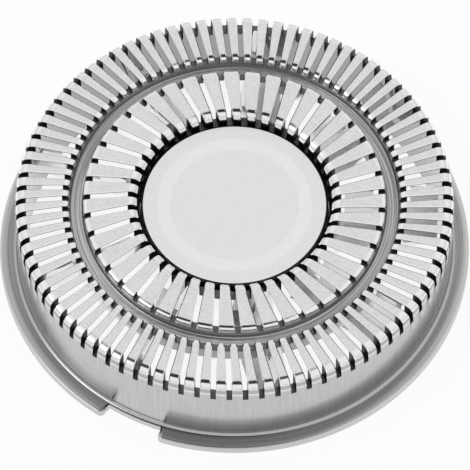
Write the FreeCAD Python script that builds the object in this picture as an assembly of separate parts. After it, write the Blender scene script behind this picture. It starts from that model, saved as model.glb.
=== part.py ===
import FreeCAD, Part
import math
import os

from FreeCAD import Vector

# A rotary shaver head, in millimetres. The origin is on the axis, in the plane
# that the flange rests on, and +Z points to the face that meets the skin.
# Radii grow outwards from the axis, so each ring starts where the last one ends.

# Guard, seen from above: recess, inner track, groove, outer track, wall, flange
recess_radius = 6.15
inner_track_width = 3.45
groove_width = 0.85
outer_track_width = 3.45
flange_width = 1.10

# Guard, heights and depths below the shaving face
head_height = 6.20
recess_depth = 2.00
recess_floor_thickness = 0.50
groove_depth = 1.00
groove_floor_thickness = 0.40
flange_thickness = 0.50

# Guard, sheet thickness
wall_thickness = 0.70
recess_wall_thickness = 0.62
groove_wall_thickness = 0.47
roof_thickness = 0.12

# Guard, rounded edges
recess_edge_radius = 0.58
groove_inner_edge_radius = 0.30
groove_outer_edge_radius = 0.42
outer_edge_radius = 0.63
foot_radius = 0.25
rim_chamfer = 0.12
groove_edge_run_count = 1
recess_edge_run_count = 2
foot_run_count = 2
outer_edge_run_count = 2

# Slots: the outer track has two for each one of the inner track
inner_slot_count = 43
slots_per_inner_slot = 2
slot_width = 0.35
slot_axis_offset = 0.88
inner_slot_turn = 0.35
outer_slot_turn = 0.23
slot_depth_at_groove = 0.50
slot_depth_at_recess = 1.20
slot_depth_at_wall = 1.36
slot_overrun = 0.50

# Bars: flat-sided, so each stands in the rings at both ends, a hair inside their walls
bar_root = 0.10
inner_bar_setback = 0.04
outer_bar_setback = 0.02

# Key notch in the flange, which stops the head from turning in its holder
notch_middle_angle = 243.5
notch_width = 3.75
notch_outer_corner_radius = 0.35
notch_inner_corner_radius = 0.25

# Centre disc
disc_drop = 0.78
disc_gap = 0.20
disc_bevel = 0.14

# Centre bush, staked into the guard's floor, with the bore that the cutter turns in
bush_flange_radius = 4.50
bush_flange_thickness = 0.55
bush_shank_radius = 2.20
bush_drop = 0.80
bush_stake_width = 0.45
bush_stake_height = 0.35

# Cutter: sheet steel, with arms bent up into blades
blade_count = 9
cutter_thickness = 0.40
cutter_ring_radius = 5.40
blade_root_radius = 4.80
arm_root_width = 1.90
arm_tip_width = 0.95
arm_bend_radius = 0.35
blade_lean = 14.0
blade_axis_offset = 1.00
blade_roof_clearance = 0.06
blade_side_clearance = 0.22
blade_groove_clearance = 0.35
blade_neck_height = 0.45
blade_tip_chamfer = 0.25

# Carrier: the plastic hub that drives the cutter
pin_radius = 1.20
pin_running_clearance = 0.05
pin_end_gap = 0.25
thrust_gap = 0.20
boss_radius = 2.40
boss_stand = 0.10
carrier_flange_radius = 4.90
carrier_flange_thickness = 0.60
hub_radius = 3.00
hub_floor_clearance = 0.20
rib_count = 3
rib_thickness = 0.60
rib_length = 1.50
rib_height = 0.70
stake_count = 3
stake_circle_radius = 3.80
stake_thickness = 0.60
stake_width = 1.40
stake_head_overlap = 0.25
stake_head_height = 0.30
socket_width = 3.20
socket_corner_radius = 0.50
socket_roof_thickness = 0.90

# Radii worked out from the widths above
groove_inner_radius = recess_radius + inner_track_width
groove_outer_radius = groove_inner_radius + groove_width
wall_radius = groove_outer_radius + outer_track_width
flange_radius = wall_radius + flange_width
inner_channel_start = recess_radius + recess_wall_thickness
inner_channel_end = groove_inner_radius - groove_wall_thickness
outer_channel_start = groove_outer_radius + groove_wall_thickness
outer_channel_end = wall_radius - wall_thickness

# Heights worked out from the depths above
face_z = head_height
roof_z = face_z - roof_thickness
recess_floor_z = face_z - recess_depth
recess_underside_z = recess_floor_z - recess_floor_thickness
groove_floor_z = face_z - groove_depth
groove_underside_z = groove_floor_z - groove_floor_thickness
disc_underside_z = recess_floor_z + bush_flange_thickness
bush_bottom_z = recess_underside_z - bush_drop
boss_top_z = bush_bottom_z - thrust_gap
cutter_top_z = boss_top_z - boss_stand
cutter_bottom_z = cutter_top_z - cutter_thickness
blade_top_z = roof_z - blade_roof_clearance

axis = Vector(0, 0, 1)
origin = Vector(0, 0, 0)


def section(start, *steps):
    """Closed face in the XZ plane, from (x, z) runs and (x, z, centre x, centre z) arcs."""
    edges = []
    here = Vector(start[0], 0, start[1])
    closing = () if steps[-1][:2] == start else (start,)
    for step in steps + closing:
        there = Vector(step[0], 0, step[1])
        if len(step) == 2:
            edges.append(Part.LineSegment(here, there).toShape())
        else:
            centre = Vector(step[2], 0, step[3])
            bisector = (here - centre) + (there - centre)
            middle = centre + bisector.normalize() * (there - centre).Length
            edges.append(Part.Arc(here, middle, there).toShape())
        here = there
    return Part.Face(Part.Wire(edges))


def quarter(centre_r, centre_z, radius, first_angle, last_angle, run_count):
    """Points of a rounded edge as a few equal runs, angles in degrees from the outward radius."""
    points = []
    for index in range(run_count + 1):
        angle = math.radians(first_angle + (last_angle - first_angle) * index / run_count)
        points.append((centre_r + radius * math.cos(angle), centre_z + radius * math.sin(angle)))
    return points


def turned(face):
    """The solid that a section makes when it is turned once round the axis."""
    return face.revolve(origin, axis, 360)


def cylinder(radius, bottom_z, top_z, x=0.0, y=0.0):
    return Part.makeCylinder(radius, top_z - bottom_z, Vector(x, y, bottom_z))


def ring_of(shape, count, first_angle=0.0):
    """Copies of a shape, evenly spaced round the axis."""
    copies = []
    for index in range(count):
        copy = shape.copy()
        copy.rotate(origin, axis, first_angle + 360.0 * index / count)
        copies.append(copy)
    return copies


def recess_cup():
    """The guard's middle: the floor that carries the bush, and the wall round it."""
    slot_floor_z = face_z - slot_depth_at_recess
    return turned(section(
        (bush_shank_radius, recess_floor_z),
        (recess_radius, recess_floor_z),
        (recess_radius, slot_floor_z),
        (inner_channel_start, slot_floor_z),
        (inner_channel_start, recess_underside_z),
        (bush_shank_radius, recess_underside_z),
    ))


def groove_ring():
    """The trough between the tracks, up to the floor of the slots that open into it."""
    slot_floor_z = face_z - slot_depth_at_groove
    return turned(section(
        (inner_channel_end, groove_underside_z),
        (inner_channel_end, slot_floor_z),
        (groove_inner_radius, slot_floor_z),
        (groove_inner_radius, groove_floor_z),
        (groove_outer_radius, groove_floor_z),
        (groove_outer_radius, slot_floor_z),
        (outer_channel_start, slot_floor_z),
        (outer_channel_start, groove_underside_z),
    ))


def side_wall():
    """The outer wall, up to the floor of its slots, with the curve into the flange."""
    foot_r = wall_radius + foot_radius
    slot_floor_z = face_z - slot_depth_at_wall
    return turned(section(
        (outer_channel_end, 0.0),
        (outer_channel_end, slot_floor_z),
        (wall_radius, slot_floor_z),
        *quarter(foot_r, flange_thickness + foot_radius, foot_radius, 180, 270, foot_run_count),
        (foot_r, 0.0),
    ))


def track_bar(side_view, first_radius, last_radius, pitch):
    """One bar between two slots. Its centre line is along +X, beside the axis at the offset."""
    middle_radius = (first_radius + last_radius) / 2
    across = Vector(0, 2 * math.radians(pitch) * last_radius, 0)
    side_view.translate(across * -0.5 - Vector(0, slot_axis_offset, 0))
    body = side_view.extrude(across)
    # the bar's ends follow the rings, which cross its line at a small angle
    body.translate(Vector(0, slot_axis_offset, 0))
    body.rotate(origin, axis, -math.degrees(math.asin(slot_axis_offset / middle_radius)))
    corners = []
    for turn, edge_y, reach in (
        (-pitch / 2, slot_width / 2 - slot_axis_offset, first_radius - slot_overrun),
        (-pitch / 2, slot_width / 2 - slot_axis_offset, last_radius + slot_overrun),
        (pitch / 2, -slot_width / 2 - slot_axis_offset, last_radius + slot_overrun),
        (pitch / 2, -slot_width / 2 - slot_axis_offset, first_radius - slot_overrun),
    ):
        corner = Vector(reach, edge_y, 0)
        turned_by = math.radians(turn)
        corners.append(Vector(
            corner.x * math.cos(turned_by) - corner.y * math.sin(turned_by),
            corner.x * math.sin(turned_by) + corner.y * math.cos(turned_by),
            0,
        ))
    plan = Part.Face(Part.makePolygon(corners + corners[:1]))
    return body.common(plan.extrude(Vector(0, 0, face_z)))


def inner_bars():
    pitch = 360.0 / inner_slot_count
    recess_foot_z = face_z - slot_depth_at_recess - bar_root
    groove_foot_z = face_z - slot_depth_at_groove - bar_root
    start = recess_radius + inner_bar_setback
    end = groove_inner_radius - inner_bar_setback
    side_view = section(
        (start, recess_foot_z),
        *quarter(start + recess_edge_radius, face_z - recess_edge_radius,
                 recess_edge_radius, 180, 90, recess_edge_run_count),
        *quarter(end - groove_inner_edge_radius, face_z - groove_inner_edge_radius,
                 groove_inner_edge_radius, 90, 0, groove_edge_run_count),
        (end, groove_foot_z),
        (inner_channel_end + inner_bar_setback, groove_foot_z),
        (inner_channel_end + inner_bar_setback, roof_z),
        (inner_channel_start - inner_bar_setback, roof_z),
        (inner_channel_start - inner_bar_setback, recess_foot_z),
    )
    bar = track_bar(side_view, recess_radius, groove_inner_radius, pitch)
    return ring_of(bar, inner_slot_count, inner_slot_turn + pitch / 2)


def outer_bars():
    count = inner_slot_count * slots_per_inner_slot
    pitch = 360.0 / count
    groove_foot_z = face_z - slot_depth_at_groove - bar_root
    wall_foot_z = face_z - slot_depth_at_wall - bar_root
    start = groove_outer_radius + outer_bar_setback
    end = wall_radius - outer_bar_setback
    inside = outer_channel_end + outer_bar_setback
    side_view = section(
        (start, groove_foot_z),
        *quarter(start + groove_outer_edge_radius, face_z - groove_outer_edge_radius,
                 groove_outer_edge_radius, 180, 90, groove_edge_run_count),
        *quarter(end - outer_edge_radius, face_z - outer_edge_radius,
                 outer_edge_radius, 90, 0, outer_edge_run_count),
        (end, wall_foot_z),
        (inside, wall_foot_z),
        (inside, roof_z),
        (outer_channel_start - outer_bar_setback, roof_z),
        (outer_channel_start - outer_bar_setback, groove_foot_z),
    )
    bar = track_bar(side_view, groove_outer_radius, wall_radius, pitch)
    return ring_of(bar, count, outer_slot_turn + pitch / 2)


def flange_plate():
    """The flange as a flat ring with its key notch, bevelled along the whole top edge."""
    half = notch_width / 2
    floor_x = math.sqrt((wall_radius + foot_radius) ** 2 - half ** 2)
    depth = math.sqrt(flange_radius ** 2 - half ** 2) - floor_x
    outer_r = min(notch_outer_corner_radius, 0.5 * depth)
    inner_r = min(notch_inner_corner_radius, 0.3 * depth)
    # the outer corner's arc touches the rim from inside and the notch's side from the plate
    corner_y = half + outer_r
    corner_x = math.sqrt((flange_radius - outer_r) ** 2 - corner_y ** 2)
    touch = flange_radius / (flange_radius - outer_r)
    outline = section(
        (corner_x * touch, corner_y * touch),
        (0.0, flange_radius, 0.0, 0.0),
        (-flange_radius, 0.0, 0.0, 0.0),
        (0.0, -flange_radius, 0.0, 0.0),
        (corner_x * touch, -corner_y * touch, 0.0, 0.0),
        (corner_x, -half, corner_x, -corner_y),
        (floor_x + inner_r, -half),
        (floor_x, inner_r - half, floor_x + inner_r, inner_r - half),
        (floor_x, half - inner_r),
        (floor_x + inner_r, half, floor_x + inner_r, half - inner_r),
        (corner_x, half),
        (corner_x * touch, corner_y * touch, corner_x, corner_y),
    )
    outline.rotate(origin, Vector(1, 0, 0), -90)
    plate = outline.extrude(Vector(0, 0, flange_thickness))
    rim = [edge for edge in plate.Edges if lies_at_height(edge, flange_thickness)]
    plate = plate.makeChamfer(rim_chamfer, rim)
    plate = plate.cut(cylinder(wall_radius, 0.0, flange_thickness))
    plate.rotate(origin, axis, notch_middle_angle)
    return plate


def lies_at_height(edge, height):
    return all(abs(vertex.Z - height) < 1e-6 for vertex in edge.Vertexes)


def guard():
    """The shaving cap, one piece of steel: three rings, and the bars that the slots leave."""
    rings = [groove_ring(), side_wall(), flange_plate()]
    body = recess_cup().fuse(rings + inner_bars() + outer_bars())
    return body.removeSplitter()


def centre_disc():
    """The plain disc that fills the recess, bevelled round its top edge."""
    radius = recess_radius - disc_gap
    top = face_z - disc_drop
    return turned(section(
        (0.0, disc_underside_z),
        (radius, disc_underside_z),
        (radius, top - disc_bevel),
        (radius - disc_bevel, top),
        (0.0, top),
    ))


def centre_bush():
    """The bearing bush: a flange on the recess floor, a shank through it, a staked collar."""
    bore = pin_radius + pin_running_clearance
    stake_r = bush_shank_radius + bush_stake_width
    return turned(section(
        (bore, disc_underside_z),
        (bore, bush_bottom_z),
        (bush_shank_radius, bush_bottom_z),
        (bush_shank_radius, recess_underside_z - bush_stake_height),
        (stake_r, recess_underside_z),
        (bush_shank_radius, recess_underside_z),
        (bush_shank_radius, recess_floor_z),
        (bush_flange_radius, recess_floor_z),
        (bush_flange_radius, disc_underside_z),
    ))


def arm_side_view():
    """The arm seen from the side: a foot, and a blade that clears the guard's inside faces."""
    side = blade_side_clearance
    under_groove = groove_underside_z - blade_groove_clearance
    neck_z = cutter_top_z + blade_neck_height
    # the outer corners lie beside the axis, so their place along the arm is a little shorter
    widest = blade_axis_offset + cutter_thickness
    end = math.sqrt((outer_channel_end - side) ** 2 - widest ** 2)
    groove_start = math.sqrt((inner_channel_end - side) ** 2 - widest ** 2)
    view = section(
        (blade_root_radius, cutter_bottom_z),
        (end, cutter_bottom_z),
        (end, blade_top_z - blade_tip_chamfer),
        (end - blade_tip_chamfer, blade_top_z),
        (outer_channel_start + side, blade_top_z),
        (outer_channel_start + side, under_groove),
        (groove_start, under_groove),
        (groove_start, blade_top_z),
        (inner_channel_start + side, blade_top_z),
        (inner_channel_start + side, neck_z),
        (blade_root_radius, neck_z),
    )
    view.translate(Vector(0, -wall_radius, 0))
    return view.extrude(Vector(0, 2 * wall_radius, 0))


def cutter_arm():
    """One arm along +X: a flat foot with its leading edge bent up into a leaning blade."""
    rise = blade_top_z - cutter_top_z
    bend_y = blade_axis_offset - rise * math.tan(math.radians(blade_lean))
    back_y = bend_y - arm_root_width
    outline = [
        Vector(0, back_y, cutter_bottom_z),
        Vector(0, bend_y, cutter_bottom_z),
        Vector(0, blade_axis_offset, blade_top_z),
        Vector(0, blade_axis_offset - cutter_thickness, blade_top_z),
        Vector(0, bend_y - cutter_thickness, cutter_top_z),
        Vector(0, back_y, cutter_top_z),
    ]
    blank = Part.Face(Part.makePolygon(outline + outline[:1])).extrude(Vector(wall_radius, 0, 0))
    bend = [edge for edge in blank.Edges if runs_along(edge, outline[1])]
    blank = blank.makeFillet(arm_bend_radius, bend)
    arm = blank.common(arm_side_view())
    trim = [
        Vector(cutter_ring_radius, back_y, cutter_bottom_z),
        Vector(wall_radius, back_y, cutter_bottom_z),
        Vector(wall_radius, back_y + arm_root_width - arm_tip_width, cutter_bottom_z),
    ]
    taper = Part.Face(Part.makePolygon(trim + trim[:1]))
    return arm.cut(taper.extrude(Vector(0, 0, cutter_thickness)))


def runs_along(edge, point):
    """True for the straight edge along X that passes through a point of the arm's section."""
    return len(edge.Vertexes) == 2 and all(
        math.hypot(vertex.Y - point.y, vertex.Z - point.z) < 1e-6 for vertex in edge.Vertexes
    )


def stakes(bottom_z, top_z, overlap=0.0):
    """The carrier's flat staking posts, or their heads, as blocks round the axis."""
    length = stake_thickness + 2 * overlap
    width = stake_width + 2 * overlap
    block = Part.makeBox(
        length, width, top_z - bottom_z,
        Vector(stake_circle_radius - length / 2, -width / 2, bottom_z),
    )
    return ring_of(block, stake_count)


def cutter():
    """The steel cutter: a flat ring on the carrier, with blades that reach both tracks."""
    ring = cylinder(cutter_ring_radius, cutter_bottom_z, cutter_top_z)
    body = ring.fuse(ring_of(cutter_arm(), blade_count))
    holes = [cylinder(boss_radius, cutter_bottom_z, cutter_top_z)]
    return body.cut(holes + stakes(cutter_bottom_z, cutter_top_z)).removeSplitter()


def drive_socket():
    """The rounded square pocket in the hub's end that the drive spindle turns."""
    top = boss_top_z - socket_roof_thickness
    half = socket_width / 2
    pocket = Part.makeBox(
        socket_width, socket_width, top - hub_floor_clearance, Vector(-half, -half, hub_floor_clearance)
    )
    upright = [edge for edge in pocket.Edges if abs(edge.Vertexes[0].Z - edge.Vertexes[-1].Z) > 1e-6]
    return pocket.makeFillet(socket_corner_radius, upright)


def carrier():
    """The plastic hub: pivot pin, boss, flange with staking posts, ribs and drive socket."""
    flange_bottom = cutter_bottom_z - carrier_flange_thickness
    body = cylinder(pin_radius, boss_top_z, disc_underside_z - pin_end_gap)
    body = body.fuse(cylinder(boss_radius, cutter_bottom_z, boss_top_z))
    body = body.fuse(cylinder(carrier_flange_radius, flange_bottom, cutter_bottom_z))
    body = body.fuse(cylinder(hub_radius, hub_floor_clearance, flange_bottom))
    rib = Part.makeBox(
        rib_length + hub_radius / 2, rib_thickness, rib_height,
        Vector(hub_radius / 2, -rib_thickness / 2, flange_bottom - rib_height),
    )
    posts = stakes(cutter_bottom_z, cutter_top_z)
    heads = stakes(cutter_top_z, cutter_top_z + stake_head_height, stake_head_overlap)
    body = body.fuse(ring_of(rib, rib_count, 180.0 / rib_count) + posts + heads)
    return body.cut(drive_socket()).removeSplitter()


parts = {
    "guard": guard,
    "centre_disc": centre_disc,
    "centre_bush": centre_bush,
    "cutter": cutter,
    "carrier": carrier,
}

os.makedirs("parts", exist_ok=True)
for name, make in parts.items():
    shape = make()
    shape.exportStep(f"parts/{name}.step")
    print(name, shape.isValid(), len(shape.Solids), round(shape.Volume, 3))
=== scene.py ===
# %% [markdown]
# # Dressing a rotary shaver head
# The solids of the head come from CAD and are loaded as a fixed frame: a slotted steel guard, a centre disc,
# a plastic bush, and a bladed cutter on its plastic carrier. This lesson gives them their finished surfaces,
# their steels and plastics, a camera and a studio. Everything is in metres, and the head is 30 mm across,
# so sizes are written in millimetres and multiplied by `MM` where they become mesh coordinates.

# %% Load the frame
import math

import bmesh
import bpy
from mathutils import Matrix, Vector


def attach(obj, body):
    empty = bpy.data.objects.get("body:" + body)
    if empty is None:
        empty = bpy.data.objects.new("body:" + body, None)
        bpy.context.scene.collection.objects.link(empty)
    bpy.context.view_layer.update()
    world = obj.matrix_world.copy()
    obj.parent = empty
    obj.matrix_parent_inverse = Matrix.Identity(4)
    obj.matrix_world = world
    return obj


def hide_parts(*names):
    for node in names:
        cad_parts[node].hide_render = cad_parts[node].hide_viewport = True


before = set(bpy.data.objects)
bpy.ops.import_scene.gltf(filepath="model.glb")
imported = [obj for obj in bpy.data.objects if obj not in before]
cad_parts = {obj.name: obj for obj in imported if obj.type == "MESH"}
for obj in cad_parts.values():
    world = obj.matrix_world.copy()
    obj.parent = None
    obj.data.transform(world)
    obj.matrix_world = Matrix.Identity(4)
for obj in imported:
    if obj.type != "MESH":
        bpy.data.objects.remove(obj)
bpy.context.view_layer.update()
MM = 0.001

# %% [markdown]
# ## Sizes of the guard
# The guard is one cup of steel. From the axis outwards it has a recess, an inner track, a groove, an outer
# track, a side wall and a flange. Its radii and heights are those of the CAD solid, and so are the slots.

# %% Radii and heights, in millimetres
recess_radius = 6.15
groove_inner_radius = 9.60
groove_outer_radius = 10.45
wall_radius = 13.90
flange_radius = 15.0
bush_hole_radius = 2.20

face_z = 6.20
roof_z = 6.08
recess_floor_z = 4.20
recess_underside_z = 3.70
groove_floor_z = 5.20
groove_underside_z = 4.80
flange_top_z = 0.50

recess_fillet = 0.12
groove_fillet = 0.16
foot_fillet = 0.25
foot_outer_radius = wall_radius + foot_fillet

recess_channel_radius = 6.77
inner_channel_radius = 9.13
outer_channel_radius = 10.92
wall_channel_radius = 13.20

# %% Slots, in millimetres and degrees
inner_slot_count = 43
outer_slot_count = 86
slot_width = 0.35
slot_axis_offset = 0.88
inner_slot_turn = 0.35
outer_slot_turn = 0.23
recess_slot_floor_z = face_z - 1.20
groove_slot_floor_z = face_z - 0.50
wall_slot_floor_z = face_z - 1.36

# %% [markdown]
# ## A mesh that follows the slots
# Each slot is a straight saw cut that passes the axis at a small distance, so a bar between two slots is a
# wedge with straight, flat sides. A bar could be cut from a turned cup with booleans, but those leave long
# thin triangles that spoil reflections. Here the mesh is laid out by rule instead: every row of points keeps
# the same columns, the outer columns lie on the slot's edges, and the rows follow the guard's profile.

# %% Meshes and objects
def plain_mesh(name, mesh_data):
    """A mesh made from mesh_data, which is freed."""
    mesh = bpy.data.meshes.new(name)
    mesh_data.to_mesh(mesh)
    mesh_data.free()
    return mesh


def placed(name, data):
    """A new object in the scene."""
    obj = bpy.data.objects.new(name, data)
    bpy.context.scene.collection.objects.link(obj)
    return obj


# %% Points, angles and profiles
def at(radius, angle, z):
    """A point in metres from a radius and a height in millimetres and an angle in radians."""
    return Vector((radius * math.cos(angle) * MM, radius * math.sin(angle) * MM, z * MM))


def slot_edge(direction, side, radius):
    """The angle of a slot's edge at a radius; side is +1 for its later edge and -1 for its earlier one."""
    return direction + math.asin((side * slot_width / 2 - slot_axis_offset) / radius)


def rounding(centre_r, centre_z, radius, first, last, count):
    """Profile points (radius, height, direction of the normal) along a rounded edge, in degrees."""
    points = []
    for index in range(count + 1):
        turn = math.radians(first + (last - first) * index / count)
        points.append((centre_r + radius * math.cos(turn), centre_z + radius * math.sin(turn), turn))
    return points


# %% Columns across one pitch
edge_width = 0.065


def columns(radius, pitch, bar_steps, slot_steps):
    """Angles across a bar and the slot after it: edge, bevel, the bar's top, bevel, edge, slot."""
    low = slot_edge(-pitch / 2, 1, radius)
    high = slot_edge(pitch / 2, -1, radius)
    bevel = edge_width / radius
    inner_steps = bar_steps - 2
    angles = [low]
    for index in range(inner_steps + 1):
        angles.append(low + bevel + (high - low - 2 * bevel) * index / inner_steps)
    angles.append(high)
    for index in range(1, slot_steps + 1):
        angles.append(high + (low + pitch - high) * index / slot_steps)
    return angles


# %% [markdown]
# ## One pitch of the guard
# A pitch is one bar with the ring below it and the slot beside it. The cross-section is a closed loop of
# stations. On ring stations the mesh runs across the bar and the slot, on bar stations only across the bar.
# The slot's flat sides close each bar, and small faces close the floor of the slot. Both carry a mark, so
# that the material can tell them from the rest. The bar's long edges get a hair-fine bevel, because a real
# edge is never perfectly sharp and that bevel catches the light.

# %% Build one pitch as a mesh
slot_floor_mark = 0.5
slot_side_mark = 1.0


def pitch_mesh(name, pitch, turn, steps, runs, tops, unders, closed_side):
    """One pitch, with a mark on the faces that the saw has cut.

    runs are the ring stations (radius, z, angles) beside the bar. tops and unders are the bar's own stations.
    """
    mesh_data = bmesh.new()
    cut_mark = mesh_data.faces.layers.float.new("cut_face")
    bar_steps, slot_steps = steps
    across_pitch = bar_steps + slot_steps

    def ring_row(radius, z, angles):
        return [mesh_data.verts.new(at(radius, angle + turn, z)) for angle in angles]

    def bar_row(radius, z, normal=None):
        drop_r = edge_width * math.cos(normal) if normal is not None else 0.0
        drop_z = edge_width * math.sin(normal) if normal is not None else 0.0
        angles = columns(radius, pitch, bar_steps, slot_steps)
        edge_angles = columns(radius - drop_r, pitch, bar_steps, slot_steps)
        row = [mesh_data.verts.new(at(radius, angle + turn, z)) for angle in angles[1:bar_steps]]
        first = mesh_data.verts.new(at(radius - drop_r, edge_angles[0] + turn, z - drop_z))
        last = mesh_data.verts.new(at(radius - drop_r, edge_angles[bar_steps] + turn, z - drop_z))
        return [first, *row, last]

    def bridge(first, second, start, stop, cut=0.0):
        for index in range(start, stop):
            face = mesh_data.faces.new((first[index], first[index + 1], second[index + 1], second[index]))
            face[cut_mark] = cut

    rows = {side: [ring_row(*station) for station in run] for side, run in runs.items()}
    top_rows = [rows["before"][-1]] + [bar_row(*station) for station in tops] + [rows["after"][0]]
    under_rows = [bar_row(*station) for station in unders]
    under_rows = [rows["after_inside"][-1]] + under_rows + [rows["before_inside"][0]]
    ring_strips = list(rows.values())
    if closed_side == "after":
        ring_strips.append([rows["after"][-1], rows["after_inside"][0]])
    else:
        ring_strips.append([rows["before_inside"][-1], rows["before"][0]])
    for strip in ring_strips:
        for first, second in zip(strip, strip[1:]):
            bridge(first, second, 0, across_pitch)
    for strip in (top_rows, under_rows):
        for first, second in zip(strip, strip[1:]):
            bridge(first, second, 0, bar_steps)
    bridge(rows["before"][-1], rows["before_inside"][0], bar_steps, across_pitch, slot_floor_mark)
    bridge(rows["after"][0], rows["after_inside"][-1], bar_steps, across_pitch, slot_floor_mark)
    for column in (0, bar_steps):
        side = mesh_data.faces.new([row[column] for row in top_rows + under_rows])
        side[cut_mark] = slot_side_mark
    return plain_mesh(name, mesh_data)


# %% [markdown]
# ## The two tracks meet in the groove
# The outer track has twice as many slots as the inner one. Both are cut into ten columns for each inner
# pitch, so their meshes share the same even columns in the middle of the groove and can be welded there.

# %% Even columns for the groove's middle
# Steps across a bar and across the slot beside it.
inner_steps = (8, 2)
outer_steps = (4, 1)
columns_in_all = sum(inner_steps) * inner_slot_count
column_angle = 2 * math.pi / columns_in_all
inner_pitch = 2 * math.pi / inner_slot_count
outer_pitch = 2 * math.pi / outer_slot_count
inner_turn = math.radians(inner_slot_turn) + inner_pitch / 2
outer_turn = math.radians(outer_slot_turn) + outer_pitch / 2
groove_middle_radius = (groove_inner_radius + groove_outer_radius) / 2


def even_columns(angles, turn):
    """The even columns that lie nearest to a pitch's own columns, measured from its turn."""
    middle = sum(angles) / len(angles) + turn
    first = round(middle / column_angle - (len(angles) - 1) / 2)
    return [(first + index) * column_angle - turn for index in range(len(angles))]


def blended(angles, evened, share):
    """A pitch's own columns where share is 0 and the even ones where it is 1."""
    return [a + (e - a) * share for a, e in zip(angles, evened)]


# %% What a track's profile is made of
def turned_run(points, angles):
    """Ring stations that keep the same angles."""
    return [(point[0], point[1], angles) for point in points]


# A lapped face ends in a crease. From there the bar's end falls away in a shallow arc and then a tight one.
# The tilts, in degrees, are where the shallow arc begins and ends.
crease_tilt = 8.0
shallow_tilt = 24.0
shallow_steps = 4
tight_steps = 6
crease_support = 0.02

# A bend is its reach, and the radius of its shallow arc as a multiple of that.
large_shallow_share = 1.75
small_shallow_share = 2.4
recess_bend = (0.58, large_shallow_share)
groove_inner_bend = (0.30, small_shallow_share)
groove_outer_bend = (0.42, small_shallow_share)
wall_bend = (0.63, large_shallow_share)


def lapped_bend(start_r, side, bend):
    """Profile points from the end of a lapped face down to the wall; side is +1 outwards and -1 inwards."""
    reach_in_all, shallow_share = bend
    first, last = math.radians(crease_tilt), math.radians(shallow_tilt)
    shallow = shallow_share * reach_in_all
    middle_reach = shallow * (math.sin(last) - math.sin(first))
    middle_drop = shallow * (math.cos(first) - math.cos(last))
    tight = (reach_in_all - middle_reach) / (1 - math.sin(last))
    points = []

    def add_point(reach, drop, tilt):
        points.append((start_r + side * reach, face_z - drop, math.pi / 2 - side * tilt))

    for index in range(shallow_steps):
        tilt = first + (last - first) * index / shallow_steps
        add_point(shallow * (math.sin(tilt) - math.sin(first)),
                  shallow * (math.cos(first) - math.cos(tilt)), tilt)
    for index in range(tight_steps + 1):
        tilt = last + (math.pi / 2 - last) * index / tight_steps
        add_point(middle_reach + tight * (math.sin(tilt) - math.sin(last)),
                  middle_drop + tight * (math.cos(last) - math.cos(tilt)), tilt)
    return points


def track_top(first_r, last_r, first_bend, last_bend):
    """The profile over a track: up over its first bend, across the lapped face and down its last bend."""
    low, high = first_r + first_bend[0], last_r - last_bend[0]
    across = [low + crease_support, low + (high - low) / 3, high - (high - low) / 3, high - crease_support]
    face = [(radius, face_z, math.pi / 2) for radius in across]
    return lapped_bend(low, -1, first_bend)[::-1] + face + lapped_bend(high, 1, last_bend)


corner_steps = 4


def groove_share(radius, edge_radius):
    """0 at the groove's side and 1 in its middle."""
    return abs(radius - edge_radius) / abs(groove_middle_radius - edge_radius)


def groove_corner_run(edge_radius, centre_radius, first, last, angles, evened):
    """Ring stations of the groove's rounded bottom corner, easing from a track's columns to the even ones."""
    corner = rounding(centre_radius, groove_floor_z + groove_fillet, groove_fillet, first, last, corner_steps)
    return [(r, z, blended(angles, evened, groove_share(r, edge_radius))) for r, z, _ in corner]


# %% The outer track's profile
outer_columns = columns(groove_outer_radius, outer_pitch, *outer_steps)
outer_even = even_columns(outer_columns, outer_turn)
wall_columns = columns(wall_radius, outer_pitch, *outer_steps)
wall_inside_columns = columns(wall_channel_radius, outer_pitch, *outer_steps)
outer_inside_columns = columns(outer_channel_radius, outer_pitch, *outer_steps)
foot_steps = 6
# Rows on a plain stretch, which keep its faces from growing too long.
wall_row_heights = (3.6, 2.2)
recess_row_radius = 4.4
outer_runs = {
    "before": [
        (groove_middle_radius, groove_floor_z, outer_even),
        *groove_corner_run(
            groove_outer_radius, groove_outer_radius - groove_fillet, -90, 0, outer_columns, outer_even),
        (groove_outer_radius, groove_slot_floor_z, outer_columns),
    ],
    "after": turned_run(
        [(wall_radius, z) for z in (wall_slot_floor_z, *wall_row_heights)]
        + rounding(foot_outer_radius, flange_top_z + foot_fillet, foot_fillet, 180, 270, foot_steps)
        + [(foot_outer_radius, 0.0)], wall_columns),
    "after_inside": turned_run(
        [(wall_channel_radius, 0.0), (wall_channel_radius, wall_slot_floor_z)], wall_inside_columns),
    "before_inside": [
        (outer_channel_radius, groove_slot_floor_z, outer_inside_columns),
        (outer_channel_radius, groove_underside_z, outer_inside_columns),
        (groove_middle_radius, groove_underside_z, outer_even),
    ],
}
outer_mesh = pitch_mesh(
    "outer_pitch", outer_pitch, outer_turn, outer_steps, outer_runs,
    track_top(groove_outer_radius, wall_radius, groove_outer_bend, wall_bend),
    [(wall_channel_radius, roof_z), (outer_channel_radius, roof_z)], "after",
)
print("one outer pitch:", len(outer_mesh.polygons), "faces")

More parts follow.
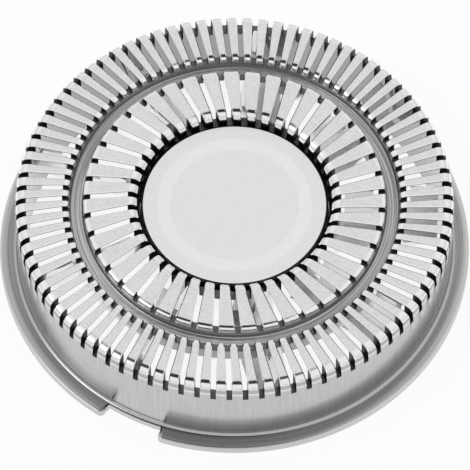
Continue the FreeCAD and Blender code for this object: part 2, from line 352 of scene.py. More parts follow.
# %% The inner track's profile
recess_columns = columns(recess_radius, inner_pitch, *inner_steps)
inner_columns = columns(groove_inner_radius, inner_pitch, *inner_steps)
inner_even = even_columns(inner_columns, inner_turn)
recess_inside_columns = columns(recess_channel_radius, inner_pitch, *inner_steps)
inner_inside_columns = columns(inner_channel_radius, inner_pitch, *inner_steps)
recess_corner = rounding(
    recess_radius - recess_fillet, recess_floor_z + recess_fillet, recess_fillet, -90, 0, corner_steps)
inner_runs = {
    "before": turned_run(
        [(bush_hole_radius, recess_floor_z), (recess_row_radius, recess_floor_z)] + recess_corner
        + [(recess_radius, recess_slot_floor_z)], recess_columns),
    "after": [
        (groove_inner_radius, groove_slot_floor_z, inner_columns),
        *groove_corner_run(
            groove_inner_radius, groove_inner_radius + groove_fillet, 180, 270, inner_columns, inner_even),
        (groove_middle_radius, groove_floor_z, inner_even),
    ],
    "after_inside": [
        (groove_middle_radius, groove_underside_z, inner_even),
        (inner_channel_radius, groove_underside_z, inner_inside_columns),
        (inner_channel_radius, groove_slot_floor_z, inner_inside_columns),
    ],
    "before_inside": turned_run(
        [(recess_channel_radius, recess_slot_floor_z), (recess_channel_radius, recess_underside_z),
         (bush_hole_radius, recess_underside_z)], recess_inside_columns),
}
inner_mesh = pitch_mesh(
    "inner_pitch", inner_pitch, inner_turn, inner_steps, inner_runs,
    track_top(recess_radius, groove_inner_radius, recess_bend, groove_inner_bend),
    [(inner_channel_radius, roof_z), (recess_channel_radius, roof_z)], "before",
)
print("one inner pitch:", len(inner_mesh.polygons), "faces")

# %% [markdown]
# ## Repeating a pitch with Geometry Nodes
# A pitch is laid out once, and a small node tree sets copies of it round the axis, makes them real, welds the
# seams and gives them their material. The same tree serves the outer and the inner track, with another count
# for each.

# %% The tree that repeats a piece round the axis
weld_distance = 0.001


def repeat_tree():
    tree = bpy.data.node_groups.new("repeat_round_the_axis", "GeometryNodeTree")
    inputs = {"Geometry": "Geometry", "Count": "Int", "Weld Distance": "Float", "Material": "Material"}
    for name, kind in inputs.items():
        tree.interface.new_socket(name, in_out="INPUT", socket_type="NodeSocket" + kind)
    tree.interface.new_socket("Geometry", in_out="OUTPUT", socket_type="NodeSocketGeometry")
    nodes, links = tree.nodes, tree.links
    group_in = nodes.new("NodeGroupInput")
    group_out = nodes.new("NodeGroupOutput")
    points = nodes.new("GeometryNodePoints")
    index = nodes.new("GeometryNodeInputIndex")
    step = nodes.new("ShaderNodeMath")
    step.operation = "DIVIDE"
    step.inputs[0].default_value = 2 * math.pi
    angle = nodes.new("ShaderNodeMath")
    angle.operation = "MULTIPLY"
    turn = nodes.new("FunctionNodeAxisAngleToRotation")
    turn.inputs["Axis"].default_value = (0, 0, 1)
    copies = nodes.new("GeometryNodeInstanceOnPoints")
    real = nodes.new("GeometryNodeRealizeInstances")
    weld = nodes.new("GeometryNodeMergeByDistance")
    paint = nodes.new("GeometryNodeSetMaterial")
    links.new(group_in.outputs["Count"], points.inputs["Count"])
    links.new(group_in.outputs["Count"], step.inputs[1])
    links.new(step.outputs[0], angle.inputs[0])
    links.new(index.outputs[0], angle.inputs[1])
    links.new(angle.outputs[0], turn.inputs["Angle"])
    links.new(points.outputs[0], copies.inputs["Points"])
    links.new(group_in.outputs["Geometry"], copies.inputs["Instance"])
    links.new(turn.outputs[0], copies.inputs["Rotation"])
    links.new(copies.outputs[0], real.inputs[0])
    links.new(real.outputs[0], weld.inputs["Geometry"])
    links.new(group_in.outputs["Weld Distance"], weld.inputs["Distance"])
    links.new(weld.outputs[0], paint.inputs["Geometry"])
    links.new(group_in.outputs["Material"], paint.inputs["Material"])
    links.new(paint.outputs[0], group_out.inputs[0])
    return tree


repeat_round_axis = repeat_tree()


def repeated(mesh, count, material):
    """The mesh set count times round the axis, as one plain welded mesh."""
    holder = placed(mesh.name + "_copies", mesh)
    modifier = holder.modifiers.new("round the axis", "NODES")
    modifier.node_group = repeat_round_axis
    sockets = {item.name: item.identifier for item in repeat_round_axis.interface.items_tree
               if item.in_out == "INPUT"}
    modifier[sockets["Count"]] = count
    modifier[sockets["Weld Distance"]] = weld_distance * MM
    modifier[sockets["Material"]] = material
    bpy.context.view_layer.update()
    evaluated = holder.evaluated_get(bpy.context.evaluated_depsgraph_get())
    plain = bpy.data.meshes.new_from_object(evaluated)
    bpy.data.objects.remove(holder)
    return plain


# %% [markdown]
# ## The flange and its key notch
# The flange is pressed out of the same cup, so it has soft edges, and one notch keys the head into its
# holder. A turned ring can't hold the notch. Instead the flange's outline is drawn once, as arcs that touch
# each other, and stacked at several heights, pulled in a little each time along its own normals to round the
# rim.

# %% Outline of the flange
notch_middle_angle = 243.5
notch_half_width = 1.875
notch_outer_corner = 0.35
notch_inner_corner = 0.21
inner_corner_steps = 5
outer_corner_steps = 6
rim_steps = 420


def arc_points(centre, radius, first, last, count, sign=1):
    """Points (x, y) and outward normals along an arc in radians; sign -1 is for a hollow corner."""
    points = []
    for index in range(count + 1):
        turn = first + (last - first) * index / count
        normal = (sign * math.cos(turn), sign * math.sin(turn))
        points.append((centre[0] + radius * math.cos(turn), centre[1] + radius * math.sin(turn), *normal))
    return points


def flange_outline():
    """The flange's edge with the notch at +X, from one side of the notch round to the other."""
    outer_y = notch_half_width + notch_outer_corner
    outer_x = math.sqrt((flange_radius - notch_outer_corner) ** 2 - outer_y ** 2)
    inner_y = notch_half_width - notch_inner_corner
    inner_x = math.sqrt((foot_outer_radius + notch_inner_corner) ** 2 - inner_y ** 2)
    rim_start = math.atan2(outer_y, outer_x)
    foot_turn = math.atan2(-inner_y, -inner_x)
    side = arc_points(
        (inner_x, inner_y), notch_inner_corner, foot_turn, -1.5 * math.pi, inner_corner_steps, sign=-1)
    side += arc_points((outer_x, outer_y), notch_outer_corner, -0.5 * math.pi, rim_start, outer_corner_steps)
    rim = arc_points((0, 0), flange_radius, rim_start, 2 * math.pi - rim_start, rim_steps)
    other = [(x, -y, nx, -ny) for x, y, nx, ny in reversed(side)]
    return side + rim[1:-1] + other


# %% Stack the outline into a closed shell
rim_low_edge = 0.05
rim_low_edge_middle = 0.015
rim_side_top_z = 0.36
rim_top_inset = 0.12
# Where the rounding above the side gets its rows, in radians.
rim_top_turns = (0.5, 1.0)


def rim_levels():
    """Insets and heights up the rim: a small edge below, an upright side and a rounding above."""
    levels = [(rim_low_edge, 0.0), (rim_low_edge_middle, rim_low_edge_middle), (0.0, rim_low_edge),
              (0.0, rim_side_top_z)]
    for turn in rim_top_turns:
        levels.append((rim_top_inset * (1 - math.cos(turn)),
                       rim_side_top_z + (flange_top_z - rim_side_top_z) * math.sin(turn)))
    return levels + [(rim_top_inset, flange_top_z)]


def flange_shell(mesh_data):
    outline = flange_outline()
    turn = Matrix.Rotation(math.radians(notch_middle_angle), 4, "Z")

    def level_row(points, z):
        return [mesh_data.verts.new(turn @ Vector((x * MM, y * MM, z * MM))) for x, y in points]

    rows = [level_row([(x - nx * inset, y - ny * inset) for x, y, nx, ny in outline], z)
            for inset, z in rim_levels()]
    bearings = [math.atan2(y, x) for x, y, _, _ in outline]
    feet = [(foot_outer_radius * math.cos(angle), foot_outer_radius * math.sin(angle)) for angle in bearings]
    low_foot = level_row(feet, 0.0)
    top_foot = level_row(feet, flange_top_z)
    lower, upper = rows[2], rows[3]
    rows = [low_foot] + rows + [top_foot]
    for first, second in zip(rows, rows[1:]):
        for index in range(len(outline) - 1):
            mesh_data.faces.new((first[index], first[index + 1], second[index + 1], second[index]))
    for index in range(1, len(outline) - 2):
        mesh_data.faces.new((top_foot[index], top_foot[index + 1], low_foot[index + 1], low_foot[index]))
    # At both ends the rim's two upright levels meet the foot in one line. The foot's last faces take in their
    # points, so that each end is closed by two small faces and none without an area.
    first_end = [low_foot[1], low_foot[0], lower[0], upper[0], top_foot[0]]
    last_end = [top_foot[-2], top_foot[-1], upper[-1], lower[-1], low_foot[-1]]
    for centre, points in ((top_foot[1], first_end), (low_foot[-2], last_end)):
        for first, second in zip(points, points[1:]):
            mesh_data.faces.new((centre, first, second))
    for end in (0, -1):
        mesh_data.faces.new([row[end] for row in rows[:4]])
        mesh_data.faces.new([row[end] for row in rows[4:]])


# %% [markdown]
# ## Shared effects for the steels and plastics
# Real metal is never one even tone. Lapping leaves a fine grain, turning leaves rings, rolling and drawing
# leave streaks. Each effect is a small node group that gives a height or a mask, and the materials place it
# with their own scale and strength.

# %% Helpers for node trees
def float_sockets(tree, way, *names):
    for name in names:
        tree.interface.new_socket(name, in_out=way, socket_type="NodeSocketFloat")


def feed(tree, socket, value):
    """Set an input socket from a number or link it to another node's output."""
    if isinstance(value, (int, float)):
        socket.default_value = value
    else:
        tree.links.new(value, socket)


def math_node(tree, operation, first, second=None):
    node = tree.nodes.new("ShaderNodeMath")
    node.operation = operation
    feed(tree, node.inputs[0], first)
    if second is not None:
        feed(tree, node.inputs[1], second)
    return node.outputs[0]


def smooth_step(tree, value, low, high):
    """0 up to low and 1 from high on, with a soft change between them."""
    node = tree.nodes.new("ShaderNodeMapRange")
    node.interpolation_type = "SMOOTHSTEP"
    tree.links.new(value, node.inputs["Value"])
    node.inputs["From Min"].default_value = low
    node.inputs["From Max"].default_value = high
    return node.outputs[0]


def band(tree, value, low, high, fade):
    """A mask that is 1 where value lies between low and high, fading over the given width at each end."""
    rise = smooth_step(tree, value, low - fade, low + fade)
    fall = smooth_step(tree, value, high - fade, high + fade)
    return math_node(tree, "SUBTRACT", rise, fall)


def noise_node(tree, place, scale, detail):
    node = tree.nodes.new("ShaderNodeTexNoise")
    tree.links.new(place, node.inputs["Vector"])
    feed(tree, node.inputs["Scale"], scale)
    node.inputs["Detail"].default_value = detail
    return node


def place_group(tree, group, **values):
    """A group with its inputs set; ring_width=0.08 sets the input Ring Width."""
    node = tree.nodes.new("ShaderNodeGroup")
    node.node_tree = group
    for name, value in values.items():
        node.inputs[name.replace("_", " ").title()].default_value = value
    return node


# %% Group: polar coordinates round the axis
def polar_group():
    tree = bpy.data.node_groups.new("polar_coordinates", "ShaderNodeTree")
    float_sockets(tree, "OUTPUT", "Radius", "Angle", "Height")
    out = tree.nodes.new("NodeGroupOutput")
    place = tree.nodes.new("ShaderNodeTexCoord")
    parts = tree.nodes.new("ShaderNodeSeparateXYZ")
    tree.links.new(place.outputs["Object"], parts.inputs[0])
    x_squared = math_node(tree, "MULTIPLY", parts.outputs[0], parts.outputs[0])
    y_squared = math_node(tree, "MULTIPLY", parts.outputs[1], parts.outputs[1])
    radius = math_node(tree, "SQRT", math_node(tree, "ADD", x_squared, y_squared))
    tree.links.new(math_node(tree, "DIVIDE", radius, MM), out.inputs["Radius"])
    tree.links.new(math_node(tree, "ARCTAN2", parts.outputs[1], parts.outputs[0]), out.inputs["Angle"])
    tree.links.new(math_node(tree, "DIVIDE", parts.outputs[2], MM), out.inputs["Height"])
    return tree


# %% Group: fine grain
coarse_grain_share = 0.11


def grain_group():
    """Two layers of noise: Height is a fine grain, Size millimetres wide, and Mask is a coarser one."""
    tree = bpy.data.node_groups.new("fine_grain", "ShaderNodeTree")
    float_sockets(tree, "INPUT", "Size")
    float_sockets(tree, "OUTPUT", "Height", "Mask")
    group_in = tree.nodes.new("NodeGroupInput")
    out = tree.nodes.new("NodeGroupOutput")
    place = tree.nodes.new("ShaderNodeTexCoord").outputs["Object"]
    scale = math_node(tree, "DIVIDE", 1.0 / MM, group_in.outputs["Size"])
    fine = noise_node(tree, place, scale, detail=3.0)
    fine.inputs["Roughness"].default_value = 0.6
    coarse = noise_node(tree, place, math_node(tree, "MULTIPLY", scale, coarse_grain_share), detail=2.0)
    tree.links.new(fine.outputs[0], out.inputs["Height"])
    tree.links.new(coarse.outputs[0], out.inputs["Mask"])
    return tree


# %% Group: lathe rings and drawn streaks
ring_wander = 1.3
streak_wander = 0.35


def machining_group():
    """Rings follow the radius and streaks stand upright; both wander a little, as tool marks do."""
    tree = bpy.data.node_groups.new("machining_marks", "ShaderNodeTree")
    float_sockets(tree, "INPUT", "Ring Width", "Streak Width")
    float_sockets(tree, "OUTPUT", "Rings", "Streaks")
    group_in = tree.nodes.new("NodeGroupInput")
    out = tree.nodes.new("NodeGroupOutput")
    polar = place_group(tree, polar_coordinates)
    # The angle comes in by its cosine and sine, which meet where the angle itself jumps by a full turn.
    across = math_node(tree, "COSINE", polar.outputs["Angle"])
    along = math_node(tree, "SINE", polar.outputs["Angle"])
    ring_width = group_in.outputs["Ring Width"]
    ring_place = tree.nodes.new("ShaderNodeCombineXYZ")
    tree.links.new(math_node(tree, "DIVIDE", polar.outputs["Radius"], ring_width), ring_place.inputs[0])
    tree.links.new(math_node(tree, "DIVIDE", polar.outputs["Height"], ring_width), ring_place.inputs[1])
    tree.links.new(math_node(tree, "MULTIPLY", across, ring_wander), ring_place.inputs[2])
    rings = noise_node(tree, ring_place.outputs[0], scale=1.0, detail=3.0)
    rings.noise_dimensions = "4D"
    tree.links.new(math_node(tree, "MULTIPLY", along, ring_wander), rings.inputs["W"])
    streak_place = tree.nodes.new("ShaderNodeCombineXYZ")
    for index, direction in enumerate((across, along)):
        distance = math_node(tree, "MULTIPLY", direction, polar.outputs["Radius"])
        tree.links.new(math_node(tree, "DIVIDE", distance, group_in.outputs["Streak Width"]),
                       streak_place.inputs[index])
    upright = math_node(tree, "MULTIPLY", polar.outputs["Height"], streak_wander)
    tree.links.new(upright, streak_place.inputs[2])
    streaks = noise_node(tree, streak_place.outputs[0], scale=1.0, detail=4.0)
    tree.links.new(rings.outputs[0], out.inputs["Rings"])
    tree.links.new(streaks.outputs[0], out.inputs["Streaks"])
    return tree


polar_coordinates = polar_group()
fine_grain = grain_group()
machining_marks = machining_group()


# %% Helpers for materials
def new_material(name, metallic):
    material = bpy.data.materials.new(name)
    material.use_nodes = True
    shader = material.node_tree.nodes["Principled BSDF"]
    shader.inputs["Metallic"].default_value = metallic
    return material, material.node_tree, shader


def bumped(tree, shader, height, distance, strength):
    """Give the shader a relief; distance is its depth in millimetres."""
    bump = tree.nodes.new("ShaderNodeBump")
    bump.inputs["Strength"].default_value = strength
    bump.inputs["Distance"].default_value = distance * MM
    tree.links.new(height, bump.inputs["Height"])
    tree.links.new(bump.outputs[0], shader.inputs["Normal"])


def toned(tree, mask, tones, low=0.35, high=0.65):
    """A value that runs from the first tone to the second as a mask runs from low to high."""
    spread = tree.nodes.new("ShaderNodeMapRange")
    tree.links.new(mask, spread.inputs["Value"])
    spread.inputs["From Min"].default_value = low
    spread.inputs["From Max"].default_value = high
    spread.inputs["To Min"].default_value = tones[0]
    spread.inputs["To Max"].default_value = tones[1]
    return spread.outputs[0]


green_warmth_share = 0.4


def grey(tree, value, warmth):
    """A grey colour of the given value, a little yellow for a warmth above 0 and a little blue below it."""
    join = tree.nodes.new("ShaderNodeCombineColor")
    tree.links.new(value, join.inputs[0])
    tree.links.new(math_node(tree, "MULTIPLY", value, 1.0 - warmth * green_warmth_share), join.inputs[1])
    tree.links.new(math_node(tree, "MULTIPLY", value, 1.0 - warmth), join.inputs[2])
    return join.outputs[0]


def blend_values(tree, share, first, second):
    """first where share is 0 and second where it is 1; both may be sockets or numbers."""
    node = tree.nodes.new("ShaderNodeMix")
    tree.links.new(share, node.inputs["Factor"])
    feed(tree, node.inputs[2], first)
    feed(tree, node.inputs[3], second)
    return node.outputs[0]


def layered(tree, base, layers):
    """The base value covered by each layer (mask, value) in turn."""
    for mask, value in layers:
        base = blend_values(tree, mask, base, value)
    return base


# %% [markdown]
# ## Steel of the guard
# The guard's faces are finished in different ways. The tracks are lapped flat and look light and matt, with
# a fine grain. Their rounded edges are tumbled bright. The groove was turned and keeps faint rings, and the
# side wall was drawn and keeps upright streaks. The slots' sides and floors are painted dark, as painted
# shade inside the narrow cuts, and a band at the foot of the outer bend is painted darker, as a painted
# reflection of a dark studio below. One material tells these places apart by radius, by height, by the
# direction of the surface and by the mark on the cut faces.

# %% Zones and tones of the guard steel
# A zone is a stretch of radius and one of height in millimetres, each as its low end, high end and fade.
flange_stretch = (foot_outer_radius - 0.04, 20.0, 0.03)
guard_zones = {
    "drawn": ((wall_radius - 0.07, wall_radius + 0.35, 0.02), (-1.0, 5.40, 0.25)),
    # A band at the foot of the outer bend is painted darker, as a painted reflection of a dark studio below.
    "bend_foot_painted_reflection": ((wall_radius - 0.16, wall_radius + 0.1, 0.02), (5.50, 5.86, 0.04)),
    "inside": ((wall_channel_radius - 0.06, wall_channel_radius + 0.06, 0.02), (0.1, 6.0, 0.05)),
    "flange": (flange_stretch, (0.44, 0.60, 0.02)),
    "rim": (flange_stretch, (-0.5, 0.44, 0.02)),
    "groove": ((groove_inner_radius - 0.01, groove_outer_radius + 0.01, 0.01), (5.0, 5.75, 0.05)),
}
# A lapped face is told by the upward part of its normal and by its height.
lapped_facing = (0.985, 2.0, 0.01)
lapped_height = (6.15, 9.0, 0.02)
# The flange grows lighter between these radii, from its darker part by the wall's foot out to its edge.
flange_lightening_radii = (14.40, 14.90)
mark_fade = 0.05

# A pair of tones follows a noise from its darkest to its lightest, and a single tone is even.
guard_tones = {
    # The tone of the band at the foot of the outer bend is a painted reflection of a dark studio below.
    "tumbled": 0.96, "lapped": (0.80, 0.94), "drawn": (0.49, 0.55), "bend_foot_painted_reflection": 0.44, "inside": 0.36,
    "flange_inner": (0.24, 0.40), "flange_edge": (0.52, 0.74), "rim": (0.52, 0.64), "groove": (0.28, 0.62),
    # The slots' floors and sides get painted shade: they are painted dark for the shade inside the narrow
    # cuts.
    "slot_floor_painted_shade": (0.12, 0.26), "slot_side_painted_shade": (0.02, 0.08),
}
guard_roughness = {
    "tumbled": 0.13, "lapped": (0.34, 0.42), "drawn": (0.16, 0.22), "groove": 0.30, "flange": 0.30,
    "slot": 0.45,
}
# How much of the grain shows on the tumbled and lapped faces, and how much of the streaks on the wall.
tumbled_relief = 0.15
lapped_relief = 1.0
drawn_relief = 0.05


# %% Guard steel
def zone_masks(tree, polar, zones):
    """One mask for each zone, by its name."""
    return {
        name: math_node(tree, "MULTIPLY", band(tree, polar.outputs["Radius"], *radii),
                        band(tree, polar.outputs["Height"], *heights))
        for name, (radii, heights) in zones.items()
    }


def guard_steel_material():
    material, tree, shader = new_material("guard_steel", metallic=1.0)
    polar = place_group(tree, polar_coordinates)
    grain = place_group(tree, fine_grain, size=0.11)
    marks = place_group(tree, machining_marks, ring_width=0.08, streak_width=0.12)
    height, mask = grain.outputs["Height"], grain.outputs["Mask"]
    rings, streaks = marks.outputs["Rings"], marks.outputs["Streaks"]

    zone = zone_masks(tree, polar, guard_zones)
    geometry = tree.nodes.new("ShaderNodeNewGeometry")
    facing = tree.nodes.new("ShaderNodeSeparateXYZ")
    tree.links.new(geometry.outputs["Normal"], facing.inputs[0])
    lapped = math_node(tree, "MULTIPLY", band(tree, facing.outputs[2], *lapped_facing),
                       band(tree, polar.outputs["Height"], *lapped_height))
    flange_outward_share = toned(tree, polar.outputs["Radius"], (0.0, 1.0), *flange_lightening_radii)
    cut = tree.nodes.new("ShaderNodeAttribute")
    cut.attribute_name = "cut_face"
    between_marks = (slot_floor_mark + slot_side_mark) / 2
    slot_floor_painted_shade = band(tree, cut.outputs["Fac"], slot_floor_mark / 2, between_marks, mark_fade)
    slot_side_painted_shade = band(tree, cut.outputs["Fac"], between_marks, 2 * slot_side_mark, mark_fade)

    flange_tone = blend_values(tree, flange_outward_share, toned(tree, rings, guard_tones["flange_inner"]),
                               toned(tree, rings, guard_tones["flange_edge"]))
    tone = layered(tree, guard_tones["tumbled"], [
        (lapped, toned(tree, height, guard_tones["lapped"])),
        (zone["drawn"], toned(tree, streaks, guard_tones["drawn"])),
        # Painted reflection: a darker band at the foot of the outer bend.
        (zone["bend_foot_painted_reflection"], guard_tones["bend_foot_painted_reflection"]),
        (zone["inside"], guard_tones["inside"]),
        (zone["flange"], flange_tone),
        (zone["rim"], toned(tree, rings, guard_tones["rim"])),
        (zone["groove"], toned(tree, rings, guard_tones["groove"], low=0.40, high=0.60)),
        # Painted shade: the slots' floors and sides are painted dark.
        (slot_floor_painted_shade, toned(tree, height, guard_tones["slot_floor_painted_shade"])),
        (slot_side_painted_shade, toned(tree, height, guard_tones["slot_side_painted_shade"])),
    ])
    tree.links.new(grey(tree, tone, warmth=0.012), shader.inputs["Base Color"])

    roughness = layered(tree, guard_roughness["tumbled"], [
        (lapped, toned(tree, mask, guard_roughness["lapped"])),
        (zone["drawn"], toned(tree, streaks, guard_roughness["drawn"])),
        (zone["groove"], guard_roughness["groove"]),
        (math_node(tree, "MAXIMUM", zone["flange"], zone["rim"]), guard_roughness["flange"]),
        (math_node(tree, "MAXIMUM", slot_floor_painted_shade, slot_side_painted_shade), guard_roughness["slot"]),
    ])
    tree.links.new(roughness, shader.inputs["Roughness"])

    grain_share = blend_values(tree, lapped, tumbled_relief, lapped_relief)
    relief = math_node(tree, "MULTIPLY", height, grain_share)
    drawn_share = math_node(tree, "MULTIPLY", zone["drawn"], drawn_relief)
    relief = math_node(tree, "ADD", relief, math_node(tree, "MULTIPLY", streaks, drawn_share))
    relief = math_node(tree, "ADD", relief, math_node(tree, "MULTIPLY", rings, zone["groove"]))
    bumped(tree, shader, relief, distance=0.010, strength=0.6)
    return material


guard_steel = guard_steel_material()

# %% [markdown]
# ## Assembling the guard
# The two repeated rings are welded along the middle of the groove, the normals are made to point outwards,
# and the flange joins them as one more closed shell. Edges sharper than 40 degrees stay crisp.

# %% Weld the guard
crisp_angle = 40


def smooth_by_angle(mesh, degrees):
    mesh.polygons.foreach_set("use_smooth", [True] * len(mesh.polygons))
    mesh.set_sharp_from_angle(angle=math.radians(degrees))


def finished_piece(name, mesh, body, material):
    mesh.name = name
    mesh.materials.clear()
    mesh.materials.append(material)
    piece = placed(name, mesh)
    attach(piece, body)
    return piece


def guard_mesh():
    mesh_data = bmesh.new()
    mesh_data.from_mesh(repeated(outer_mesh, outer_slot_count, guard_steel))
    mesh_data.from_mesh(repeated(inner_mesh, inner_slot_count, guard_steel))
    bmesh.ops.remove_doubles(mesh_data, verts=mesh_data.verts, dist=weld_distance * MM)
    open_edges = sum(1 for edge in mesh_data.edges if len(edge.link_faces) != 2)
    print("open edges in the slotted cup:", open_edges)
    flange_shell(mesh_data)
    bmesh.ops.recalc_face_normals(mesh_data, faces=mesh_data.faces)
    mesh = plain_mesh("slotted_guard", mesh_data)
    smooth_by_angle(mesh, crisp_angle)
    return mesh


slotted_guard = finished_piece("slotted_guard", guard_mesh(), "guard_assembly", guard_steel)
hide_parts("guard")
triangles = sum(len(polygon.vertices) - 2 for polygon in slotted_guard.data.polygons)
print("slotted guard:", triangles, "triangles")

# %% [markdown]
# ## The centre disc
# The disc is a stamped cap of frosted steel. Its face is bead-blasted to an even, sparkling white, with one
# broad ring left a little brighter, and its bevel is painted almost black, as painted shade in the gap
# between the disc and the recess wall. The CAD disc has the right shape, so it stays and only gets its
# material.

# %% Disc steel
# Stretches of radius, each as its low end, high end and fade.
disc_ring = (4.10, 4.90, 0.05)
disc_bevel_painted_shade = (5.80, 9.0, 0.01)
# The bevel is painted almost black: painted shade for the gap between the disc and the recess wall.
disc_tones = {"face": (0.90, 0.98), "ring": (0.96, 0.985), "bevel": 0.04}
disc_roughness = {"face": (0.40, 0.46), "ring": 0.34}


def disc_steel_material():
    material, tree, shader = new_material("disc_steel", metallic=1.0)
    polar = place_group(tree, polar_coordinates)
    grain = place_group(tree, fine_grain, size=0.09)
    height = grain.outputs["Height"]
    ring = band(tree, polar.outputs["Radius"], *disc_ring)
    bevel = band(tree, polar.outputs["Radius"], *disc_bevel_painted_shade)
    tone = layered(tree, toned(tree, height, disc_tones["face"]), [
        (ring, toned(tree, height, disc_tones["ring"])),
        # Painted shade: the bevel is painted almost black.
        (bevel, disc_tones["bevel"]),
    ])
    tree.links.new(grey(tree, tone, warmth=-0.012), shader.inputs["Base Color"])
    roughness = blend_values(tree, ring, toned(tree, height, disc_roughness["face"]), disc_roughness["ring"])
    tree.links.new(roughness, shader.inputs["Roughness"])
    bumped(tree, shader, height, distance=0.010, strength=0.6)
    return material


def dress_node(name, material):
    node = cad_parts[name]
    node.data.materials.clear()
    node.data.materials.append(material)


disc_steel = disc_steel_material()
dress_node("centre_disc", disc_steel)

# %% [markdown]
# ## Cutter, carrier and bush
# These sit inside the guard and show from below and a little through the slots. Their CAD solids have the
# right form, but their curved faces are facetted. A welded copy of each keeps the form, shades its curved
# faces smoothly and gets a small rounded edge where a real edge would be broken.

# %% Steel of the cutter
cutter_tones = (0.92, 0.98)
cutter_roughness = (0.34, 0.42)


def cutter_steel_material():
    material, tree, shader = new_material("cutter_steel", metallic=1.0)
    grain = place_group(tree, fine_grain, size=0.14)
    marks = place_group(tree, machining_marks, ring_width=0.06, streak_width=0.20)
    tone = toned(tree, grain.outputs["Mask"], cutter_tones)
    tree.links.new(grey(tree, tone, warmth=0.01), shader.inputs["Base Color"])
    tree.links.new(toned(tree, marks.outputs["Rings"], cutter_roughness), shader.inputs["Roughness"])
    height = math_node(tree, "ADD", grain.outputs["Height"], marks.outputs["Rings"])
    bumped(tree, shader, height, distance=0.004, strength=0.4)
    return material


# %% Plastics
def plastic_material(name, tones, warmth, roughness, size):
    material, tree, shader = new_material(name, metallic=0.0)
    grain = place_group(tree, fine_grain, size=size)
    tone = toned(tree, grain.outputs["Mask"], tones)
    tree.links.new(grey(tree, tone, warmth), shader.inputs["Base Color"])
    tree.links.new(toned(tree, grain.outputs["Height"], roughness), shader.inputs["Roughness"])
    shader.inputs["Subsurface Weight"].default_value = 0.05
    shader.inputs["Subsurface Scale"].default_value = 0.3 * MM
    bumped(tree, shader, grain.outputs["Height"], distance=0.006, strength=0.5)
    return material


# %% Welded copies of the CAD nodes
node_weld_distance = 0.0005
flat_angle = 0.5
node_crisp_angle = 35


def welded_copy(node_name, piece_name, body, material, edge):
    """A copy of a CAD node's mesh with doubles merged, flat faces made whole again and edges broken."""
    mesh_data = bmesh.new()
    mesh_data.from_mesh(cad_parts[node_name].data)
    bmesh.ops.remove_doubles(mesh_data, verts=mesh_data.verts, dist=node_weld_distance * MM)
    bmesh.ops.dissolve_limit(
        mesh_data, angle_limit=math.radians(flat_angle), verts=mesh_data.verts, edges=mesh_data.edges)
    mesh = plain_mesh(piece_name, mesh_data)
    smooth_by_angle(mesh, node_crisp_angle)
    piece = finished_piece(piece_name, mesh, body, material)
    bevel = piece.modifiers.new("broken edges", "BEVEL")
    bevel.width = edge * MM
    bevel.segments = 2
    bevel.limit_method = "ANGLE"
    bevel.angle_limit = math.radians(crisp_angle)
    bevel.harden_normals = True
    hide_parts(node_name)


cutter_steel = cutter_steel_material()
bush_plastic = plastic_material(
    "bush_plastic", tones=(0.81, 0.86), warmth=0.02, roughness=(0.37, 0.53), size=0.10)
carrier_plastic = plastic_material(
    "carrier_plastic", tones=(0.85, 0.90), warmth=0.03, roughness=(0.32, 0.48), size=0.12)
welded_copy("cutter", "bladed_cutter", "cutter_assembly", cutter_steel, edge=0.02)
welded_copy("centre_bush", "bearing_bush", "guard_assembly", bush_plastic, edge=0.05)
welded_copy("carrier", "drive_carrier", "cutter_assembly", carrier_plastic, edge=0.05)

# %% [markdown]
# ## Camera
# The photograph was taken from well above, 59 degrees over the horizon, with a long lens. The face of the
# head lies a little above the middle of the picture.

# %% Place the camera
picture_pixels = 470
pixels_per_mm = 15.825
camera_elevation = math.radians(59.0)
camera_distance = 400.0
axis_pixel = (234.5, 198.0)
sensor_width = 36.0


def photograph_camera():
    data = bpy.data.cameras.new("camera")
    camera = placed("camera", data)
    data.sensor_width = sensor_width
    data.lens = sensor_width * pixels_per_mm * camera_distance / picture_pixels
    data.clip_start = 0.01
    data.clip_end = 10.0
    view = Vector((0, math.cos(camera_elevation), -math.sin(camera_elevation)))
    up = Vector((0, math.sin(camera_elevation), math.cos(camera_elevation)))
    right = Vector((1, 0, 0))
    aim = Vector((0, 0, face_z))
    aim -= right * ((axis_pixel[0] - picture_pixels / 2) / pixels_per_mm)
    aim -= up * ((picture_pixels / 2 - axis_pixel[1]) / pixels_per_mm)
    camera.location = (aim - view * camera_distance) * MM
    camera.rotation_euler = view.to_track_quat("-Z", "Y").to_euler()
    bpy.context.scene.camera = camera


photograph_camera()

# %% [markdown]
# ## Studio
# Polished steel shows its surroundings, so the studio matters as much as the steel. The head stands on a
# white table, under a white tent with one dark opening overhead. The bends at the ends of the bars mirror
# that opening as short black dashes where they turn towards the camera. The table is white for the camera
# and for reflections without lighting the head any more than a real table would. One soft lamp stands on the
# left. The studio's sizes are in metres.

# %% Table
table_radius = 0.9
table_sides = 96
table_white = 0.86
table_glow = 0.88
table_shading = 0.14


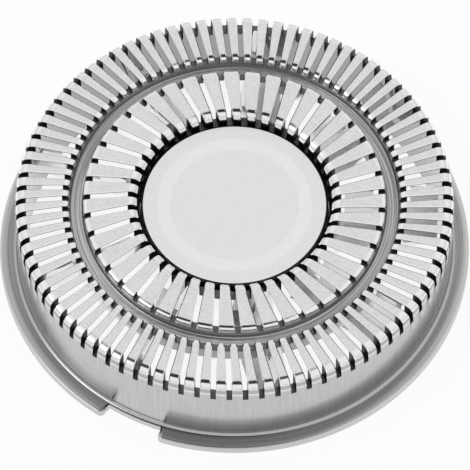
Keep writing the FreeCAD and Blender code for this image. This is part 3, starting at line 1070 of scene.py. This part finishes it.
def table_material():
    """Camera, glossy and transmission rays see a glow with a little shading, and all others a plain white."""
    material = bpy.data.materials.new("table")
    material.use_nodes = True
    tree = material.node_tree
    tree.nodes.clear()
    out = tree.nodes.new("ShaderNodeOutputMaterial")
    seen = tree.nodes.new("ShaderNodeLightPath")
    lit = tree.nodes.new("ShaderNodeBsdfDiffuse")
    lit.inputs["Color"].default_value = (table_white, table_white, table_white, 1)
    glow = tree.nodes.new("ShaderNodeEmission")
    glow.inputs["Color"].default_value = (1, 1, 1, 1)
    glow.inputs["Strength"].default_value = table_glow
    shading = tree.nodes.new("ShaderNodeBsdfDiffuse")
    shading.inputs["Color"].default_value = (table_shading, table_shading, table_shading, 1)
    both = tree.nodes.new("ShaderNodeAddShader")
    mix = tree.nodes.new("ShaderNodeMixShader")
    reflected = math_node(tree, "MAXIMUM", seen.outputs["Is Glossy Ray"], seen.outputs["Is Transmission Ray"])
    shown = math_node(tree, "MAXIMUM", seen.outputs["Is Camera Ray"], reflected)
    tree.links.new(glow.outputs[0], both.inputs[0])
    tree.links.new(shading.outputs[0], both.inputs[1])
    tree.links.new(shown, mix.inputs[0])
    tree.links.new(lit.outputs[0], mix.inputs[1])
    tree.links.new(both.outputs[0], mix.inputs[2])
    tree.links.new(mix.outputs[0], out.inputs[0])
    return material


def table():
    mesh_data = bmesh.new()
    bmesh.ops.create_circle(mesh_data, cap_ends=True, radius=table_radius, segments=table_sides)
    mesh = plain_mesh("table", mesh_data)
    mesh.materials.append(table_material())
    obj = placed("table", mesh)


table()

# %% Tent
# The opening's direction, the half angles in degrees where it begins and is fully dark, and its level.
opening_direction = (-0.075, -0.02, 0.997)
opening_edge_angle = 17.0
opening_dark_angle = 15.0
opening_level = 0.03
# The tent's level at the horizon and where the direction's height reaches the top value.
tent_levels = (0.80, 1.06)
tent_top = 0.7
backdrop_level = 1.0


def tent():
    """The camera sees a plain backdrop, and all other rays see the tent and its opening."""
    world = bpy.data.worlds.new("tent")
    bpy.context.scene.world = world
    world.use_nodes = True
    tree = world.node_tree
    tree.nodes.clear()
    out = tree.nodes.new("ShaderNodeOutputWorld")
    light = tree.nodes.new("ShaderNodeBackground")
    place = tree.nodes.new("ShaderNodeTexCoord")
    opening = tree.nodes.new("ShaderNodeVectorMath")
    opening.operation = "DOT_PRODUCT"
    tree.links.new(place.outputs["Generated"], opening.inputs[0])
    opening.inputs[1].default_value = opening_direction
    dark = smooth_step(tree, opening.outputs["Value"], math.cos(math.radians(opening_edge_angle)),
                       math.cos(math.radians(opening_dark_angle)))
    parts = tree.nodes.new("ShaderNodeSeparateXYZ")
    tree.links.new(place.outputs["Generated"], parts.inputs[0])
    level = toned(tree, parts.outputs[2], tent_levels, low=0.0, high=tent_top)
    seen = tree.nodes.new("ShaderNodeLightPath")
    sky = blend_values(tree, dark, level, opening_level)
    strength = blend_values(tree, seen.outputs["Is Camera Ray"], sky, backdrop_level)
    tree.links.new(strength, light.inputs["Strength"])
    tree.links.new(light.outputs[0], out.inputs[0])


tent()

# %% Lamp
def soft_lamp(name, place, size, watts):
    data = bpy.data.lights.new(name, "AREA")
    data.shape = "DISK"
    data.size = size
    data.energy = watts
    lamp = placed(name, data)
    lamp.location = place
    lamp.rotation_euler = (-Vector(place)).to_track_quat("-Z", "Y").to_euler()


soft_lamp("key", place=(-0.40, -0.10, 0.45), size=0.30, watts=0.35)

# %% Set the view transform and finish
bpy.context.scene.view_settings.view_transform = "Standard"
bpy.context.view_layer.update()
